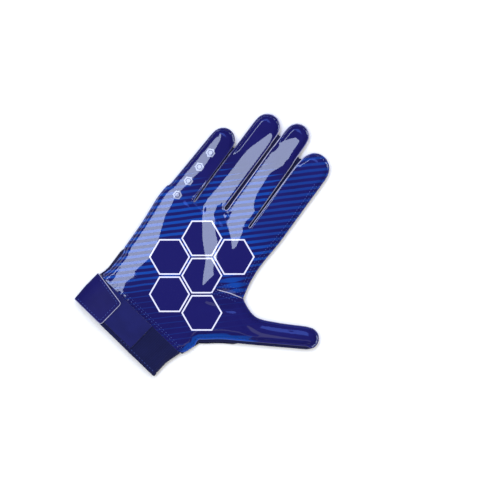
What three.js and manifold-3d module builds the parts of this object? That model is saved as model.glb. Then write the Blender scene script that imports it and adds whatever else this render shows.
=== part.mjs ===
// A football receiver glove for the right hand, lying palm up as it is laid down empty.
// Millimetres. +Z is up out of the palm, +Y runs from the wrist to the fingertips, +X points to the
// thumb side. The glove is one hollow: a tube for the cuff and hand, four finger tubes and a thumb tube.
// Its wall is cut along two level seams into the palm panel, the gussets and the back panel, and across
// the wrist into the cuff.
import * as THREE from "three";
import Module from "manifold-3d";
import { mergeVertices } from "three/addons/utils/BufferGeometryUtils.js";

const wasm = await Module();
wasm.setup();

// Walls and clearances
const WALL = 1.3; // coated synthetic of the palm, and the cloth of the back and gussets
const CUFF_WALL = 1.8; // knitted elastic
const TAB_WALL = 1.6; // closure tab
const PATCH_WALL = 0.8; // woven landing patch under the tab
const CLEARANCE = 0.3; // left between pieces that are sewn together
const WELT = 1.9; // width of the raw seam edge that stands out all round
const SLIT_CLOTH = 1.3; // how far the gussets' cloth fills the slits between the long fingers
const BELLY = 1.5; // how far the sides swell below the seam
const HEM_PROUD = 0.5; // how far the folded hem of the cuff stands out
const CUFF_LIFT = HEM_PROUD + CLEARANCE + TAB_WALL; // the strap of the tab passes under the cuff

// Heights above the surface that the glove lies on
const BACK_SEAM = 3.8; // seam between the back panel and the gussets
const PALM_SEAM = 6.5; // seam between the gussets and the palm panel
const CORNER = 2.4; // rounding along the underside
const SHOULDER = PALM_SEAM + WALL; // where the palm panel starts to arch

// Hand
const PALM_LENGTH = 112.5; // cuff seam to the forks of the long fingers
const PALM_WIDTH = 105;
const PALM_RISE = 10;
const CUFF_HEIGHT = 30.5;
const CUFF_WIDTH = 94;
const CUFF_RISE = 5;
const HEM_HEIGHT = 3.6;
const CUFF_TILT = -7.6; // degrees that the wrist leans from square
const FINGER_RISE = 4.8;
const FINGER_ROOT = 26; // how far a finger tube starts below its fork, inside the hand

// Fingers: length from fork to tip, and widths over the welts at the root and at the tip
const LITTLE = { length: 69, root: 25.6, tip: 21 };
const RING = { length: 89.7, root: 23.4, tip: 22.6 };
const MIDDLE = { length: 97.8, root: 22.6, tip: 21.6 };
const INDEX = { length: 86.8, root: 27.6, tip: 26.8 };

// Thumb
const THUMB_LENGTH = 112; // root in the hand to the tip
const THUMB_WIDTH = 19.6;
const THUMB_RISE = 5.6;
const THUMB_LEAN = 29.3; // degrees above +X
const THUMB_ROOT = { across: 0.405, along: 0.152 }; // shares of the palm's width and length

// Closure tab and landing patch
const TAB_REACH = 30; // from the little-finger side to its free end
const TAB_END_WIDTH = 26;
const TAB_STRAP = 44; // how far the strap runs back under the cuff
const TAB_CORNER = 3;
const PATCH_REACH = 62; // from the little-finger side

// Sections of the cuff: shares of its height, width and rise
const CUFF_SECTIONS = [
  { along: 0, left: -0.488, right: 0.513, rise: 0.92 },
  { along: 0.5, left: -0.479, right: 0.532, rise: 1 },
  { along: 1, left: -0.457, right: 0.584, rise: 1.05 },
];

// Sections of the hand above the cuff: shares of the palm's length, width and rise, of the cuff's lift
// and tilt. The step at 0.9 is the fork beside the little finger. Where end is 1 the section is the edge
// of the hand.
const PALM_SECTIONS = [
  { along: 0.1, left: -0.378, right: 0.565, rise: 0.68, lift: 0.6, tilt: 0.7, end: 0 },
  { along: 0.245, left: -0.371, right: 0.61, rise: 0.9, lift: 0, tilt: 0.3, end: 0 },
  { along: 0.395, left: -0.373, right: 0.638, rise: 1, lift: 0, tilt: 0, end: 0 },
  { along: 0.547, left: -0.377, right: 0.645, rise: 0.98, lift: 0, tilt: 0, end: 0 },
  { along: 0.662, left: -0.388, right: 0.614, rise: 0.9, lift: 0, tilt: 0, end: 0 },
  { along: 0.787, left: -0.401, right: 0.6, rise: 0.76, lift: 0, tilt: 0, end: 0 },
  { along: 0.898, left: -0.395, right: 0.602, rise: 0.56, lift: 0, tilt: 0, end: 1 },
  { along: 0.91, left: -0.09, right: 0.602, rise: 0.54, lift: 0, tilt: 0, end: 1 },
  { along: 1, left: -0.075, right: 0.585, rise: 0.36, lift: 0, tilt: 0, end: 1 },
];

// Where each finger leaves the hand (shares of the palm's width and length) and its lean in degrees
const FINGERS = [
  { name: "little", size: LITTLE, across: -0.264, fork: 0.898, lean: -1.3 },
  { name: "ring", size: RING, across: -0.028, fork: 1, lean: -0.1 },
  { name: "middle", size: MIDDLE, across: 0.226, fork: 1, lean: 1.1 },
  { name: "index", size: INDEX, across: 0.482, fork: 1, lean: 0.3 },
];

// Sections of a finger between its root and the centre of its round tip: shares of that length, of its width
// and of its rise
const FINGER_SECTIONS = [
  { along: 0, wide: 0.84, rise: 0.8 },
  { along: 0.3, wide: 1, rise: 0.95 },
  { along: 0.55, wide: 1, rise: 1.03 },
  { along: 0.8, wide: 1, rise: 1 },
];

// Sections of the thumb: shares of its length, of its width (from its centre line) and of its rise
const THUMB_SECTIONS = [
  { along: 0, lower: -0.6, upper: 0.7, rise: 1 },
  { along: 0.12, lower: -0.78, upper: 1.05, rise: 1.15 },
  { along: 0.27, lower: -0.64, upper: 1.34, rise: 1.2 },
  { along: 0.39, lower: -0.62, upper: 1.35, rise: 1.1 },
  { along: 0.437, lower: -0.61, upper: 0.95, rise: 0.98 },
  { along: 0.485, lower: -0.6, upper: 0.68, rise: 0.92 },
  { along: 0.54, lower: -0.59, upper: 0.55, rise: 0.92 },
  { along: 0.7, lower: -0.55, upper: 0.5, rise: 1 },
];

const ARCH_STEPS = 10; // facets over the arch of a finger or thumb
const HAND_ARCH_STEPS = 18; // facets over the arch of the hand
const TIP_ANGLES = [0, 28, 52, 70, 82]; // degrees round a fingertip, the last one its end facet
const ARCH_POWER = 2.5; // 2 is an ellipse, more is fuller
const FAR = 400; // larger than the glove
const LOW = -20; // below the glove
const HIGH = 60; // above the glove
const GRID = 0.004; // points of the finished faces lie on this grid
const CLEANING_PASSES = 6;

const radians = THREE.MathUtils.degToRad;
const unit = (degrees) => new THREE.Vector2(Math.cos(radians(degrees)), Math.sin(radians(degrees)));

// Solids

function solid(geometry) {
  const bare = new THREE.BufferGeometry().setAttribute("position", geometry.getAttribute("position"));
  bare.setIndex(geometry.index);
  const merged = mergeVertices(bare, 1e-4);
  return new wasm.Manifold(
    new wasm.Mesh({
      numProp: 3,
      vertProperties: new Float32Array(merged.attributes.position.array),
      triVerts: new Uint32Array(merged.index.array),
    }),
  );
}

// The faces of a solid on the grid. Points that fall together are one, and a face that is flat to
// nothing goes: its middle point splits the face beyond its long edge.
function geometryOf(manifold) {
  const mesh = manifold.getMesh();
  const snapped = Float32Array.from(mesh.vertProperties, (value) => Math.round(value / GRID) * GRID);
  const geometry = new THREE.BufferGeometry();
  geometry.setAttribute("position", new THREE.BufferAttribute(snapped, 3));
  geometry.setIndex(new THREE.BufferAttribute(new Uint32Array(mesh.triVerts), 1));
  const merged = mergeVertices(geometry, GRID / 4);
  const corner = Array.from({ length: merged.attributes.position.count }, (_, k) =>
    new THREE.Vector3().fromBufferAttribute(merged.attributes.position, k));
  const length = (from, to) => corner[from].distanceTo(corner[to]);
  const area = ([a, b, c]) => new THREE.Triangle(corner[a], corner[b], corner[c]).getArea();
  const height = (face) => (2 * area(face)) / length(face[0], face[1]);
  const longer = (best, turn) => (length(turn[0], turn[1]) > length(best[0], best[1]) ? turn : best);
  const longestFirst = ([a, b, c]) => [[a, b, c], [b, c, a], [c, a, b]].reduce(longer);

  let faces = [];
  for (let k = 0; k < merged.index.count; k += 3) faces.push([...merged.index.array.slice(k, k + 3)]);
  for (let pass = 0; pass < CLEANING_PASSES; pass++) {
    faces = faces.filter((face) => new Set(face).size === 3).map(longestFirst);
    const edges = (face, f) => face.map((from, k) => [`${from} ${face[(k + 1) % 3]}`, f]);
    const beyond = new Map(faces.flatMap(edges));
    const done = new Set();
    faces.forEach((face, f) => {
      const [a, b, c] = face;
      const other = beyond.get(`${b} ${a}`);
      if (height(face) > GRID / 2 || other === undefined || done.has(f) || done.has(other)) return;
      const far = faces[other].find((point) => point !== a && point !== b);
      faces[f] = [c, a, far];
      faces[other] = [c, far, b];
      done.add(f).add(other);
    });
  }
  merged.setIndex(faces.flat());
  const faceted = merged.toNonIndexed();
  faceted.computeVertexNormals();
  return faceted;
}

const joined = (solids) => solids.reduce((sum, next) => sum.add(next));

// A closed solid through rings of equally many points, each end capped by a fan round its middle
function loft(rings) {
  const count = rings[0].length;
  const points = rings.flat();
  const index = [];
  for (let ring = 0; ring + 1 < rings.length; ring++) {
    for (let k = 0; k < count; k++) {
      const a = ring * count + k;
      const b = ring * count + ((k + 1) % count);
      index.push(a, a + count, b, b, a + count, b + count);
    }
  }
  const capAt = (start, reversed) => {
    const ring = points.slice(start, start + count);
    const middle = ring.reduce((sum, p) => sum.add(p), new THREE.Vector3()).divideScalar(count);
    points.push(middle);
    for (let k = 0; k < count; k++) {
      const pair = [start + k, start + ((k + 1) % count)];
      index.push(points.length - 1, ...(reversed ? pair.reverse() : pair));
    }
  };
  const last = (rings.length - 1) * count;
  capAt(0, false);
  capAt(last, true);
  const geometry = new THREE.BufferGeometry().setFromPoints(points);
  geometry.setIndex(index);
  return solid(geometry);
}

function block(x0, x1, y0, y1, z0, z1) {
  const box = new THREE.BoxGeometry(x1 - x0, y1 - y0, z1 - z0);
  box.translate((x0 + x1) / 2, (y0 + y1) / 2, (z0 + z1) / 2);
  return box;
}

const level = (z0, z1) => solid(block(-FAR, FAR, -FAR, FAR, z0, z1));

// An upright prism over a plan outline drawn in the leaning frame of the wrist
function wristPrism(shape, z0, z1) {
  const prism = new THREE.ExtrudeGeometry(shape, { depth: z1 - z0, bevelEnabled: false, curveSegments: 4 });
  prism.translate(0, 0, z0);
  return solid(prism.rotateZ(radians(CUFF_TILT)));
}

// Sections. A station is a place on a limb's centre line with the outline's reach to each side, over the
// welts.

const signedPower = (value, power) => Math.sign(value) * Math.abs(value) ** power;

// Ring across a tube whose wall is moved out by grow: flat below, swelling at the sides, arched above
function tubeRing(station, grow, steps) {
  const half = (station.high - station.low) / 2 - WELT + grow;
  const centre = (station.high + station.low) / 2;
  const wide = half + station.belly;
  const floor = station.lift - grow;
  const corner = Math.min(CORNER + grow, 0.8 * half);
  const ring = [
    [-wide + corner, floor],
    [wide - corner, floor],
    [wide - 0.3 * corner, floor + 0.3 * corner],
    [wide, floor + corner],
  ];
  for (let k = 0; k <= steps; k++) {
    const angle = (Math.PI * k) / steps;
    const across = signedPower(Math.cos(angle), 2 / ARCH_POWER);
    const up = Math.sin(angle) ** (2 / ARCH_POWER);
    ring.push([half * across, SHOULDER + (station.rise + grow) * up]);
  }
  ring.push([-wide, floor + corner], [-wide + 0.3 * corner, floor + 0.3 * corner]);
  return placed(station, ring, centre);
}

// Ring across a flat plate that reaches out to the welt's edge, less inset
function plateRing(station, inset, z0, z1) {
  const half = (station.high - station.low) / 2 - inset;
  const centre = (station.high + station.low) / 2;
  return placed(station, [[-half, z0], [half, z0], [half, z1], [-half, z1]], centre);
}

function placed(station, ring, centre) {
  return ring.map(
    ([across, z]) =>
      new THREE.Vector3(
        station.at.x + station.side.x * (centre + across),
        station.at.y + station.side.y * (centre + across),
        z,
      ),
  );
}

// Stations of the cuff and hand. An edge of the hand is drawn in by inset, as its sides are by the rings.
function handStations(inset) {
  const cuff = CUFF_SECTIONS.map((row) => ({
    at: new THREE.Vector2(0, row.along * CUFF_HEIGHT),
    side: unit(CUFF_TILT),
    low: row.left * CUFF_WIDTH,
    high: row.right * CUFF_WIDTH,
    rise: row.rise * CUFF_RISE,
    lift: CUFF_LIFT,
    belly: 0,
  }));
  const mouth = { ...cuff[0], at: new THREE.Vector2(0, -CUFF_HEIGHT / 4) }; // runs out past the opening
  const palm = PALM_SECTIONS.map((row) => ({
    at: new THREE.Vector2(0, CUFF_HEIGHT + row.along * PALM_LENGTH - row.end * inset),
    side: unit(row.tilt * CUFF_TILT),
    low: row.left * PALM_WIDTH,
    high: row.right * PALM_WIDTH,
    rise: row.rise * PALM_RISE,
    lift: row.lift * CUFF_LIFT,
    belly: (1 - row.lift) * BELLY,
  }));
  return [mouth, ...cuff, ...palm];
}

// Stations round the tip of a finger or thumb whose outline radius is drawn in by inset
function tipStations(centre, forward, side, radius, inset, rise) {
  return TIP_ANGLES.map((angle) => {
    const reach = (radius - inset) * Math.cos(radians(angle)) + inset;
    const ahead = forward.clone().multiplyScalar((radius - inset) * Math.sin(radians(angle)));
    const drop = Math.sqrt(Math.cos(radians(angle)));
    const fullness = Math.max(drop, 0.45);
    const heights = { rise: rise * fullness, lift: 0, belly: BELLY * fullness };
    return { at: centre.clone().add(ahead), side, low: -reach, high: reach, ...heights };
  });
}

function fingerFrame(finger) {
  const forward = unit(90 + finger.lean);
  const side = unit(finger.lean);
  const forkAt = CUFF_HEIGHT + finger.fork * PALM_LENGTH;
  const fork = new THREE.Vector2(finger.across * PALM_WIDTH, forkAt);
  const centre = fork.clone().addScaledVector(forward, finger.size.length - finger.size.tip / 2);
  const root = fork.clone().addScaledVector(forward, -FINGER_ROOT);
  const tip = fork.clone().addScaledVector(forward, finger.size.length);
  return { forward, side, root, centre, tip };
}

function fingerStations(finger, inset) {
  const { forward, side, root, centre } = fingerFrame(finger);
  const shank = FINGER_SECTIONS.map((row) => {
    const reach = (THREE.MathUtils.lerp(finger.size.root, finger.size.tip, row.along) / 2) * row.wide;
    const at = root.clone().lerp(centre, row.along);
    return { at, side, low: -reach, high: reach, rise: row.rise * FINGER_RISE, lift: 0, belly: BELLY };
  });
  return [...shank, ...tipStations(centre, forward, side, finger.size.tip / 2, inset, FINGER_RISE)];
}

function thumbFrame() {
  const forward = unit(THUMB_LEAN);
  const side = unit(THUMB_LEAN + 90);
  const rootAt = CUFF_HEIGHT + THUMB_ROOT.along * PALM_LENGTH;
  const root = new THREE.Vector2(THUMB_ROOT.across * PALM_WIDTH, rootAt);
  const centre = root.clone().addScaledVector(forward, THUMB_LENGTH - THUMB_WIDTH / 2);
  const tip = root.clone().addScaledVector(forward, THUMB_LENGTH);
  return { forward, side, root, centre, tip };
}

// The thumb's sections run the other way across, so that its rings turn the same way as a finger's
function thumbStations(inset) {
  const { forward, side, root, centre } = thumbFrame();
  const across = side.clone().negate();
  const shank = THUMB_SECTIONS.map((row) => ({
    at: root.clone().addScaledVector(forward, row.along * THUMB_LENGTH),
    side: across,
    low: -row.upper * THUMB_WIDTH,
    high: -row.lower * THUMB_WIDTH,
    rise: row.rise * THUMB_RISE,
    lift: 0,
    belly: BELLY,
  }));
  return [...shank, ...tipStations(centre, forward, across, THUMB_WIDTH / 2, inset, THUMB_RISE)];
}

// The whole glove as one filled form whose wall is moved out by grow
function gloveForm(grow) {
  const inset = WELT - grow;
  return joined([
    loft(handStations(inset).map((station) => tubeRing(station, grow, HAND_ARCH_STEPS))),
    loft(thumbStations(inset).map((station) => tubeRing(station, grow, ARCH_STEPS))),
    ...FINGERS.map((finger) =>
      loft(fingerStations(finger, inset).map((station) => tubeRing(station, grow, ARCH_STEPS))),
    ),
  ]);
}

// The cuff and hand alone, for what wraps the wrist
const wristForm = (grow) => loft(handStations(WELT).map((station) => tubeRing(station, grow, HAND_ARCH_STEPS)));

// The whole outline as one flat plate
function glovePlate(inset, z0, z1) {
  const plate = (stations) => loft(stations.map((station) => plateRing(station, inset, z0, z1)));
  return joined([
    plate(handStations(inset)),
    plate(thumbStations(inset)),
    ...FINGERS.map((finger) => plate(fingerStations(finger, inset))),
  ]);
}

// The strips of plan between the centre lines of neighbouring long fingers, short of their round tips
function betweenFingers() {
  const pairs = FINGERS.slice(1).map((finger, k) => [fingerFrame(FINGERS[k]), fingerFrame(finger)]);
  return joined(
    pairs.map(([left, right]) => {
      const end = Math.min(left.centre.y, right.centre.y);
      return solid(block(left.centre.x, right.centre.x, left.root.y, end, LOW, HIGH));
    }),
  );
}

// Seams that cut the form into pieces

// What lies on the finger side of a line across the wrist
const beyondWrist = (y) => solid(block(-FAR, FAR, y, FAR, LOW, HIGH).rotateZ(radians(CUFF_TILT)));
const seamLine = CUFF_HEIGHT * Math.cos(radians(CUFF_TILT));

const outer = gloveForm(0);
const hollow = gloveForm(-WALL);
const hand = beyondWrist(seamLine);
const wall = outer.subtract(hollow).intersect(hand);

const palmWelt = glovePlate(0, PALM_SEAM, SHOULDER).intersect(hand);
const palmPanel = wall.intersect(level(PALM_SEAM, HIGH)).add(palmWelt.subtract(hollow));

const gussetTop = PALM_SEAM - CLEARANCE;
const gussetCloth = (inset) => glovePlate(inset, gussetTop - WALL, gussetTop);
const gussetWelt = gussetCloth(CLEARANCE)
  .add(gussetCloth(-SLIT_CLOTH).intersect(betweenFingers()))
  .intersect(hand)
  .subtract(hollow);
const gussetRing = wall.intersect(level(BACK_SEAM + CLEARANCE, gussetTop)).add(gussetWelt);

const backPanel = wall.intersect(level(LOW, BACK_SEAM));

// A thin cut across the gusset at a fingertip
function tipCut({ tip, forward }) {
  const depth = WELT + 3 * WALL;
  const cut = block(-CLEARANCE / 2, CLEARANCE / 2, -depth, depth, LOW, HIGH);
  const turn = Math.atan2(forward.y, forward.x) - Math.PI / 2;
  return solid(cut.rotateZ(turn).translate(tip.x, tip.y, 0));
}

const tipCuts = joined([...FINGERS.map(fingerFrame), thumbFrame()].map(tipCut));
const gussets = gussetRing.subtract(tipCuts).decompose();

// The gusset that comes nearest to a place in the plan
function gussetNear(place) {
  const distance = (piece) => {
    const { vertProperties, numProp } = piece.getMesh();
    let nearest = Infinity;
    for (let k = 0; k < vertProperties.length; k += numProp) {
      nearest = Math.min(nearest, Math.hypot(vertProperties[k] - place.x, vertProperties[k + 1] - place.y));
    }
    return nearest;
  };
  return gussets.reduce((best, piece) => (distance(piece) < distance(best) ? piece : best));
}

// Halfway between two tips, or beside one, a little towards the wrist
const [littleTip, ringTip, middleTip, indexTip] = FINGERS.map((finger) => fingerFrame(finger).tip);
const thumbTip = thumbFrame().tip;
const aside = (tip, step) => tip.clone().add(new THREE.Vector2(step, -LITTLE.tip));
const GUSSETS = {
  gusset_little_side: aside(littleTip, -LITTLE.tip / 2),
  fourchette_little_ring: aside(littleTip, LITTLE.tip / 2),
  fourchette_ring_middle: aside(ringTip, RING.tip / 2),
  fourchette_middle_index: aside(middleTip, MIDDLE.tip / 2),
  gusset_index_thumb: aside(indexTip, INDEX.tip / 2),
  gusset_thumb_side: thumbTip.clone().addScaledVector(thumbFrame().forward, -THUMB_WIDTH)
    .addScaledVector(thumbFrame().side, -THUMB_WIDTH / 2),
};

// Cuff: the wrist's wall up to the seam, with a folded hem round the opening
const cuffSlab = beyondWrist(0).subtract(beyondWrist(seamLine - CLEARANCE));
const hemSlab = beyondWrist(0).subtract(beyondWrist(HEM_HEIGHT));
const cuffHollow = wristForm(-CUFF_WALL);
const hem = wristForm(HEM_PROUD).intersect(hemSlab);
const cuff = wristForm(0).intersect(cuffSlab).add(hem).subtract(cuffHollow);

// Layers over the cuff, measured out from its hem
const patchGrow = HEM_PROUD + CLEARANCE;
const tabGrow = patchGrow + PATCH_WALL + CLEARANCE;
const layer = (grow, thickness) => wristForm(grow + thickness).subtract(wristForm(grow));
const wristSide = CUFF_SECTIONS[0].left * CUFF_WIDTH;
const overCuff = level(SHOULDER, HIGH);

// Landing patch on the palm side, between the hem and the seam
const patchShape = new THREE.Shape()
  .moveTo(wristSide + TAB_REACH / 2, HEM_HEIGHT)
  .lineTo(wristSide + PATCH_REACH, HEM_HEIGHT)
  .lineTo(wristSide + PATCH_REACH, seamLine - CLEARANCE)
  .lineTo(wristSide + TAB_REACH / 2, seamLine - CLEARANCE);
const patch = layer(patchGrow, PATCH_WALL).intersect(wristPrism(patchShape, LOW, HIGH)).intersect(overCuff);

// Closure tab: over the palm side to its free end, round the little-finger side and back under the cuff
const tabFree = wristSide + TAB_REACH;
const tabShape = new THREE.Shape()
  .moveTo(-FAR, 0)
  .lineTo(tabFree - TAB_CORNER, 0)
  .quadraticCurveTo(tabFree, 0, tabFree, TAB_CORNER)
  .lineTo(tabFree, TAB_END_WIDTH - TAB_CORNER)
  .quadraticCurveTo(tabFree, TAB_END_WIDTH, tabFree - TAB_CORNER, TAB_END_WIDTH)
  .lineTo(wristSide, seamLine)
  .lineTo(-FAR, seamLine);
const strapShape = new THREE.Shape()
  .moveTo(-FAR, 0)
  .lineTo(wristSide + TAB_STRAP, 0)
  .lineTo(wristSide + TAB_STRAP, TAB_END_WIDTH)
  .lineTo(wristSide, seamLine)
  .lineTo(-FAR, seamLine);
const tabTop = layer(tabGrow, TAB_WALL).intersect(wristPrism(tabShape, BACK_SEAM, HIGH));
const tabStrap = layer(HEM_PROUD + CLEARANCE, TAB_WALL).intersect(wristPrism(strapShape, LOW, SHOULDER));
const tab = tabTop.add(tabStrap);

// Scene graph

const finish = (color, roughness) => new THREE.MeshStandardMaterial({ color, roughness, metalness: 0 });
const coated = finish(0x1a2f9c, 0.12);
const stretchCloth = finish(0x14206e, 0.8);
const knit = finish(0x152270, 0.9);
const woven = finish(0x1b2d86, 0.7);

const glove = new THREE.Group();
function add(name, manifold, material) {
  const mesh = new THREE.Mesh(geometryOf(manifold), material);
  mesh.name = name;
  glove.add(mesh);
}

add("palm_panel", palmPanel, coated);
add("back_panel", backPanel, stretchCloth);
for (const [name, place] of Object.entries(GUSSETS)) add(name, gussetNear(place), stretchCloth);
add("cuff", cuff, knit);
add("landing_patch", patch, woven);
add("closure_tab", tab, coated);

// The origin is under the middle of the glove, on the surface that it lies on
const bounds = new THREE.Box3().setFromObject(glove);
const middle = bounds.getCenter(new THREE.Vector3());
glove.position.set(-middle.x, -middle.y, -bounds.min.z);

export default glove;
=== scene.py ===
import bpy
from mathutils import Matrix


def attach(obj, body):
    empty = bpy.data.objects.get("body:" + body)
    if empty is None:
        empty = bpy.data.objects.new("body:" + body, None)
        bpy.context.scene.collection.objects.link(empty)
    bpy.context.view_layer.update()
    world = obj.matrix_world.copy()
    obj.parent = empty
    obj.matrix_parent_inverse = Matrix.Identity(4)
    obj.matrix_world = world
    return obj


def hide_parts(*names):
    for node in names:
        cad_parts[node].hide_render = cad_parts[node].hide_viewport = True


bl_info = {
    "name": "Receiver glove",
    "version": (1, 0, 0),
    "blender": (4, 5, 0),
    "location": "View3D > Sidebar > Glove",
    "description": "Dresses a receiver glove with its palm, back, gussets, cuff, tab and stitches",
    "category": "Object",
}

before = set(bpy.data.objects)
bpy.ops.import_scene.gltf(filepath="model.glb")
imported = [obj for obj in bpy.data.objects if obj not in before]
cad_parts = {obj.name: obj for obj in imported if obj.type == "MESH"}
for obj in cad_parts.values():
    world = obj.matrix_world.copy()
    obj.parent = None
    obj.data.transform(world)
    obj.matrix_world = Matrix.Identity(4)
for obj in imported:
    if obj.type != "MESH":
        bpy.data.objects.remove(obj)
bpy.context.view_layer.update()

import math

import bmesh
import bpy
import numpy as np
from mathutils import Matrix, Vector, geometry, kdtree, noise
from mathutils.bvhtree import BVHTree

BODY = "root"
MM = 0.001

# Places on the glove are given in millimetres from the centre of the cuff's opening
CUFF_CENTRE = np.array([-47.14, -117.26])
WRIST_TILT = -7.6  # degrees that the wrist leans from square
ACROSS_WRIST = np.array([math.cos(math.radians(WRIST_TILT)), math.sin(math.radians(WRIST_TILT))])
UP_WRIST = np.array([-ACROSS_WRIST[1], ACROSS_WRIST[0]])
WELT = 1.9  # from the raw edge to the seam
SHEET_THICKNESS = 1.1  # of the palm and the back
PALM_FLANGE = 7.6  # height of the raw edge of the palm
PALM_SEAM = 6.5  # height of the seam round the palm
BACK_SEAM = 3.8  # height of the seam round the back
BACK_ROUND = 2.8  # how far in from its seam the back is rounded

# Wrist, in its leaning axes
WRIST_SEAM = 30.2
WRIST_MARGIN = 0.9  # how far past the seam an outline still counts as the wrist's
HEM_HEIGHT = 3.6
HEM_DEPTH = 0.35  # how far its seam draws the cuff in
RIB_PITCH = 2.4
RIB_DEPTH = 0.03
SIDE = -46.4  # little-finger side of the cuff
TAB_REACH = 30
TAB_END_WIDTH = 26
PATCH_REACH = 62
CORNER_ANGLE = 1.0  # least turn in radians that counts as an edge of the tab
CORNER_STEP = 0.4

# The photograph's frame: 0.85 mm of glove to a pixel, its middle on the glove and how far it is turned
PHOTO_WIDTH = 500
PIXEL = 0.85
VIEW_CENTRE = np.array([44.8, 132.8])
VIEW_TURN = 36.6
CAMERA_HEIGHT = 4.0
SENSOR = 36.0

# The fingers, for pattern and relief: centre line from fork to tip and its lean, how the print fades there
FINGERS = [
    {"name": "little", "x": -27.5, "fork": 130, "tip": 200, "lean": 1.0,
     "fade": (0.05, 0.55), "vivid": 0.55},
    {"name": "ring", "x": -3.0, "fork": 134, "tip": 232, "lean": 0.3,
     "fade": (0.15, 0.62), "vivid": 0.9},
    {"name": "middle", "x": 23.3, "fork": 141, "tip": 240, "lean": -1.0,
     "fade": (0.35, 0.7), "vivid": 1.0},
    {"name": "index", "x": 50.6, "fork": 141, "tip": 230, "lean": -0.3,
     "fade": (2.0, 3.0), "vivid": 0.56},
]

JOINTS = (0.3, 0.62)  # creases of a finger, as shares of the way from fork to tip
JOINT_DEPTH = 0.16
PUCKER_DEPTH = 0.09  # gathers that the seam draws
PUCKER_PITCH = 6.5

# Folds of the palm: a run of points, its half-width, and how deep it is (below nought) or high
PALM_FOLDS = [
    {"run": [(70, 82), (79, 77), (88, 73), (101, 73), (118, 81)], "width": 3.4, "depth": -1.3},
    {"run": [(40, 66), (56, 73), (69, 81), (74, 85)], "width": 3.0, "depth": -0.9},
    {"run": [(45, 85), (56, 89), (68.6, 92)], "width": 2.2, "depth": -1.0},
    {"run": [(48, 99), (57, 98), (64, 98)], "width": 2.4, "depth": -0.5},
    {"run": [(28, 36), (33, 52), (44, 68), (52, 76)], "width": 6.0, "depth": -0.7},
]

# Broad slopes of the palm: which way they go up, their rise for each millimetre at places up the hand, and
# their outline. The outlines began as places picked by eye in an enlarged photo, which a scratch script
# turned to millimetres, and many points were then moved or added by hand. The first three slopes face the
# light on the little-finger side. The last two are the thumb's upper side and its crease.
PALM_SLOPES = [
    {"up": (1, 0), "rise": [(98, 0.088), (124, 0.13)], "outline": [
        (-31.5, 33.3), (-29, 43.7), (-30.5, 52.4), (-34, 60.9), (-36, 86.7), (-37.6, 106.5), (-38, 115.8),
        (-37, 124.7), (-36, 152.5), (-34.3, 182.1), (-35.3, 195), (-33, 196.8), (-28.4, 188.5),
        (-26.7, 179.2), (-25.3, 164.4), (-26.9, 149.4), (-29.4, 124.3), (-27.9, 109.5), (-23.5, 97.9),
        (-20, 88.9), (-17.3, 74), (-19.1, 62), (-22.9, 52.8), (-21.6, 45.4), (-21, 33.1)]},
    {"up": (1, 0), "rise": [(0, 0.155)], "outline": [
        (33.7, 80.1), (26.8, 89.8), (22.6, 99), (10.5, 111), (-2.4, 126.8), (-7.4, 141.5), (-5.7, 160.9),
        (-4.9, 191.1), (-3.5, 200.7), (2.2, 218.6), (5.7, 220.2), (7.4, 215.1), (8.9, 207.4), (14.6, 207.7),
        (14.6, 216.2), (17.5, 223.7), (22, 229.1), (28.3, 230.6), (30.8, 227.2), (27.9, 215.5), (28.3, 202),
        (22.5, 191.3), (23.8, 175.4), (25.9, 165.3), (29.3, 159.4), (34.5, 157), (35, 150), (33.6, 140.6),
        (34.5, 133.5), (37.5, 123.5), (35, 120.5), (29, 127), (22.5, 132), (14, 134), (8, 134), (7.6, 133),
        (15.8, 122.7), (22, 118.3), (25, 111), (32, 108.6), (40.2, 104), (40, 97.8), (36, 91.3)]},
    {"up": (1, 0), "rise": [(0, 0.22)], "outline": [
        (10.5, 138.5), (14, 134), (22.5, 132), (29, 127), (35, 120.5), (37.5, 123.5), (34.5, 133.5),
        (33.6, 140.6), (35, 150), (34.5, 157), (29.3, 159.4), (24, 156), (13, 152)]},
    {"up": (0.49, -0.87), "rise": [(0, 0.29)], "outline": [
        (74, 88.5), (80, 84.5), (86, 83.5), (92, 85.5), (98.3, 89.2), (114, 98.2), (126.5, 104.8),
        (131, 106), (130, 101.5), (126.5, 100), (114, 93), (98.3, 84.3), (91, 80), (84, 77.5), (77, 79),
        (70, 85)]},
    {"up": (-0.49, 0.87), "rise": [(0, 0.27)], "outline": [
        (73, 81.5), (78, 79), (86.5, 77.2), (98.2, 79), (115.9, 87.4), (131.2, 95), (132.8, 92),
        (117.8, 83.9), (100, 74.6), (88, 73.2), (80, 74.5), (73, 77.5)]},
]
LEVEL_RISE = 0.015  # steepest rise away from that light elsewhere
FLANK_SHARE = 0.6  # how much of the plain arch's rise is kept just inside the seam
LEAN_PASSES = 700  # times that the sheet is drawn towards its slopes
LEAN_STEP = 1.6  # how far it goes each time
LEAN_SWING = 0.95  # how much of the last move it keeps
HAND_FALL = 0.07  # how much more the hand may fall towards the thumb

# Where cloth shows beyond the palm: a run along the edge, how far round it, and how far the outline goes out
BACK_OUT = [
    {"run": [(-39.5, 46), (-39.5, 58)], "round": 8, "out": 1.6},
    {"run": [(58, 42), (80, 53)], "round": 9, "out": 1.6},
]
PALM_OUT = [
    {"run": [(-39.5, 44), (-39.5, 58)], "round": 8, "out": -1.8},
    {"run": [(64, 42), (98, 65), (134, 87)], "round": 7, "out": -2.6},
    {"run": [(10, 145), (10, 206)], "round": 6, "out": 0.45},
    {"run": [(37, 145), (37, 206)], "round": 6, "out": 0.5},
]
WRIST_LAP = 0.8  # how far the palm laps over the cuff
STEEPEST = 0.8  # rise of the palm just inside its seam
SIDE_STEEPEST = 2.2  # the same on the side of the little finger's root
SOFTENING = 0.3  # how gently it bends into that rise
AT_BORDER = 0.3  # how near the cut edge a place counts as on it
PALM_ROWS = (0.7, 1.3, 1.8, 2.3, 3.0, 3.8)  # how far in from its edge the palm has rows of vertices
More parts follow.
